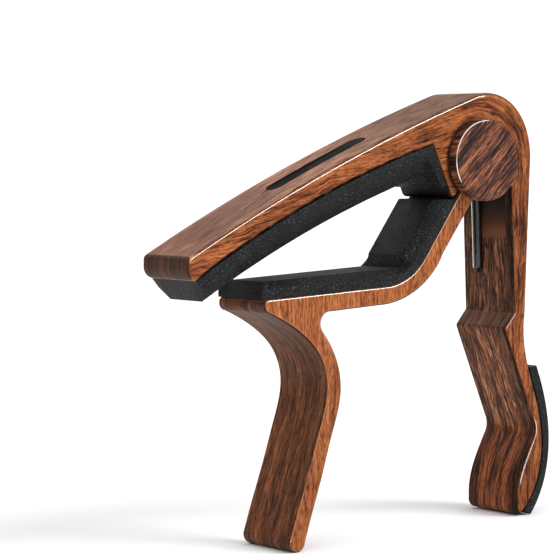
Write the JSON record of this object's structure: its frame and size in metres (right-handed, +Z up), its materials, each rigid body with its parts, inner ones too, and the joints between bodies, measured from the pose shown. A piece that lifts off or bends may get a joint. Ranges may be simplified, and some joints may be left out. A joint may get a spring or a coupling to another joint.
{
  "type": "guitar capo",
  "caption": "Spring-loaded guitar capo: a padded arched bar and a padded jaw on a capped pivot hinge, opened by squeezing its curved levers.",
  "frame": {"origin": "on the ground, under the middle of the capo's overall box, as it stands on the ends of its two levers", "axes": "+Z up, +X from the open end of the jaws towards the pivot and the rear lever, +Y across the capo along the pivot"},
  "size_m": [0.0942, 0.0218, 0.0933],
  "materials": {
    "wood_print_casting": "die-cast alloy under a satin wood-grain print",
    "wood_print_cap": "moulded cap under a darker wood-grain print",
    "black_silicone": "matte, finely grained",
    "pin_steel": "plain turned steel",
    "spring_steel": "blackened spring wire",
    "sleeve_nylon": "black nylon"
  },
  "bodies": {
    "jaw_side": {"jaw_lever": "wood_print_casting", "jaw_pad": "black_silicone"},
    "bar_side": {"bar_lever": "wood_print_casting", "bar_pad": "black_silicone", "lever_grip": "black_silicone", "slot_insert": "black_silicone", "pivot_pin": "pin_steel", "pivot_cap_near": "wood_print_cap", "pivot_cap_far": "wood_print_cap", "spring_sleeve": "sleeve_nylon", "torsion_spring": "spring_steel"}
  },
  "joints": [
    {"name": "capo_hinge", "type": "hinge", "parent": "jaw_side", "child": "bar_side", "pos_m": [0.02958, 0, 0.07879], "axis": [0, 1, 0], "range_deg": [0, 36], "stiffness_Nm_per_rad": 1.2, "springref_deg": -34.38, "deforming": ["torsion_spring"]}
  ]
}
